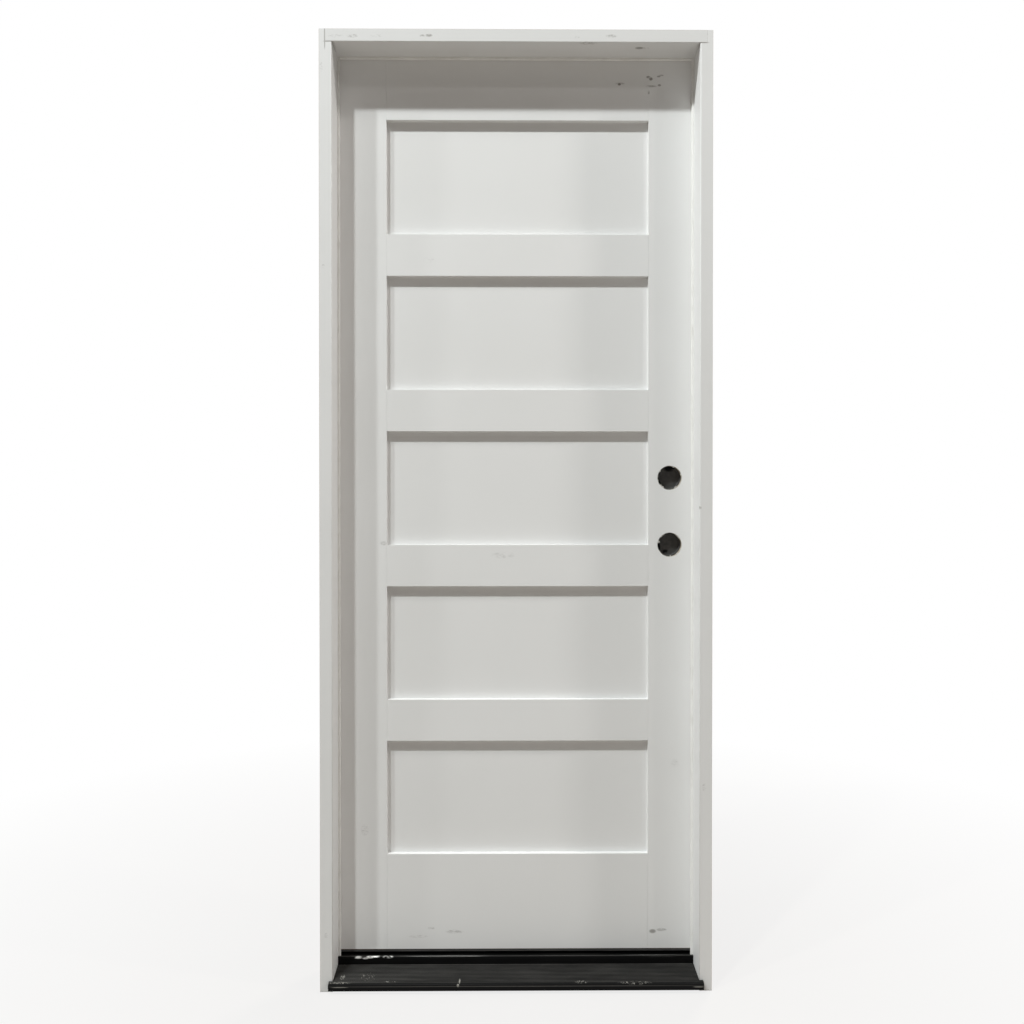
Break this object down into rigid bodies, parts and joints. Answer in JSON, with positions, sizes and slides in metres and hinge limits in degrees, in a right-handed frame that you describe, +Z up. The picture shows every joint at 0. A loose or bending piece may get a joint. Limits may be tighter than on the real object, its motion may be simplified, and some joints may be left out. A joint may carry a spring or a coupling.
{
  "type": "shaker door",
  "caption": "Prehung inswing exterior shaker door with flat recessed panels, primed white, in its rabbeted frame with hinges, seals and a ribbed black metal sill; bored for locks.",
  "frame": {"origin": "middle of the frame's width and of the jambs' depth, at the frame's bottom", "axes": "+Z up, +X from the hinge jamb to the strike jamb, +Y from the outside to the inside"},
  "size_m": [0.8446, 0.1428, 2.0669],
  "materials": {
    "jamb_paint": "factory primer on finger-jointed pine, matt white",
    "door_paint": "factory primer, smooth matt white",
    "foam_seal": "off-white foam with a smooth skin",
    "sill_metal": "black anodised, dusty on the ribs",
    "sill_composite": "dark composite",
    "cap_composite": "black, satin",
    "sweep_rubber": "charcoal vinyl",
    "hinge_steel": "satin nickel",
    "screw_steel": "zinc plated"
  },
  "bodies": {
    "frame": {"hinge_jamb": "jamb_paint", "strike_jamb": "jamb_paint", "head_jamb": "jamb_paint", "sill_core": "sill_composite", "sill_deck": "sill_metal", "threshold_cap": "cap_composite", "hinge_weatherstrip": "foam_seal", "strike_weatherstrip": "foam_seal", "head_weatherstrip": "foam_seal", "head_screws": "screw_steel", "sill_screws": "screw_steel", "top_frame_leaf": "hinge_steel", "middle_frame_leaf": "hinge_steel", "bottom_frame_leaf": "hinge_steel", "top_hinge_pin": "hinge_steel", "middle_hinge_pin": "hinge_steel", "bottom_hinge_pin": "hinge_steel", "frame_leaf_screws": "screw_steel"},
    "door": {"hinge_stile": "door_paint", "lock_stile": "door_paint", "top_rail": "door_paint", "cross_rail_1": "door_paint", "cross_rail_2": "door_paint", "cross_rail_3": "door_paint", "cross_rail_4": "door_paint", "bottom_rail": "door_paint", "panel_1": "door_paint", "panel_2": "door_paint", "panel_3": "door_paint", "panel_4": "door_paint", "panel_5": "door_paint", "door_sweep": "sweep_rubber", "top_door_leaf": "hinge_steel", "middle_door_leaf": "hinge_steel", "bottom_door_leaf": "hinge_steel", "door_leaf_screws": "screw_steel"}
  },
  "joints": [
    {"name": "door_swing", "type": "hinge", "parent": "frame", "child": "door", "pos_m": [-0.40481, 0.06544, 1.03], "axis": [0, 0, 1], "range_deg": [0, 180]}
  ]
}
